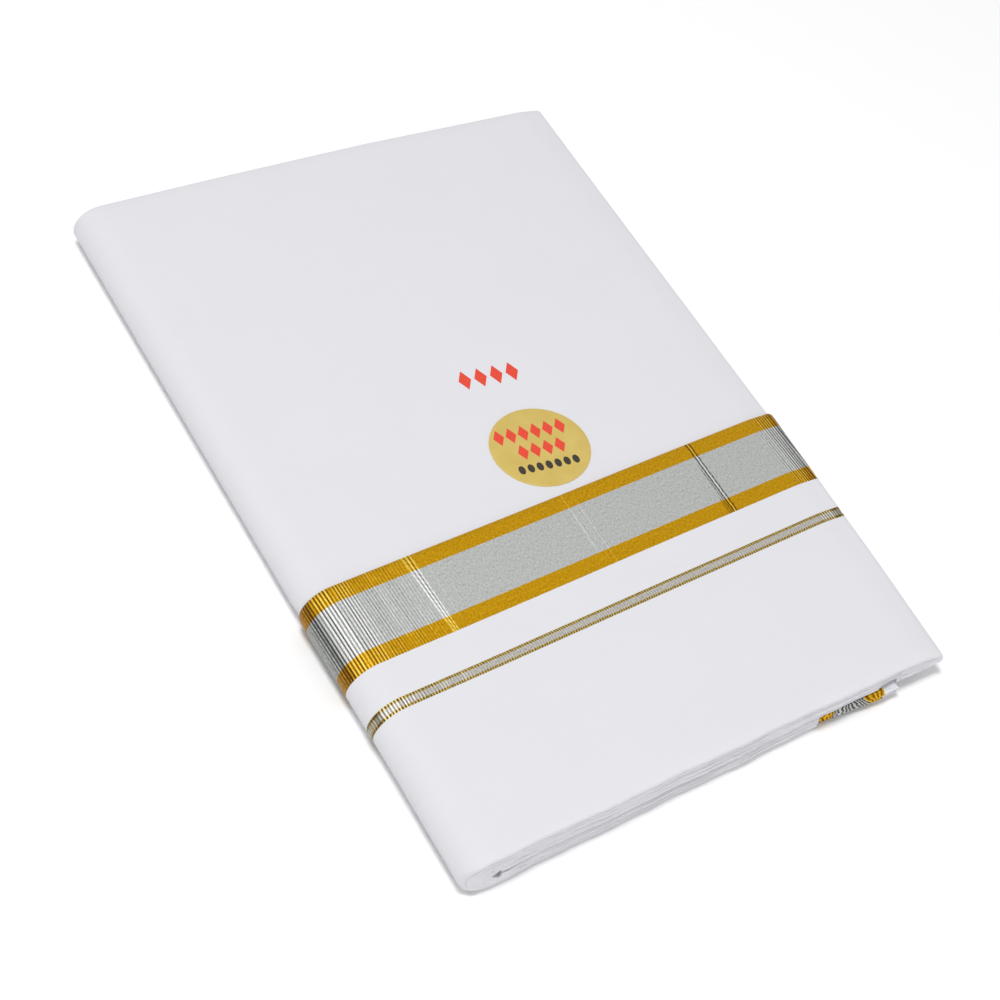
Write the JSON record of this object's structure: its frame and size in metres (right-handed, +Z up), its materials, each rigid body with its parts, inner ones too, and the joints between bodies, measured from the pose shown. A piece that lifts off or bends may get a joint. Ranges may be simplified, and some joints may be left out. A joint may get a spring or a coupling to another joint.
{
  "type": "folded dhoti cloth",
  "caption": "White cotton dhoti cloth folded into a flat packet, its gold and silver woven border turned up over the front as a flap, with a round foil label on top.",
  "frame": {"origin": "on the ground, under the middle of the packet's bounding box", "axes": "+X from the round spine to the open side, +Y from the front fold to the far fold, +Z up, out of the packet's top"},
  "size_m": [0.2526, 0.3764, 0.0242],
  "materials": {
    "cotton": "matt, fine plain weave",
    "gold": "woven gold thread, satin sheen",
    "silver": "woven silver thread, satin sheen",
    "foil": "gold foil"
  },
  "bodies": {
    "root": {"top_cloth": "cotton", "front_flap": "cotton", "border_thin_line": "gold", "border_gap": "cotton", "border_inner_gold": "gold", "border_silver": "silver", "border_outer_gold": "gold", "folded_layers": "cotton", "end_inner_gold": "gold", "end_silver": "silver", "end_outer_gold": "gold", "cloth_end": "cotton", "round_label": "foil"}
  },
  "joints": []
}
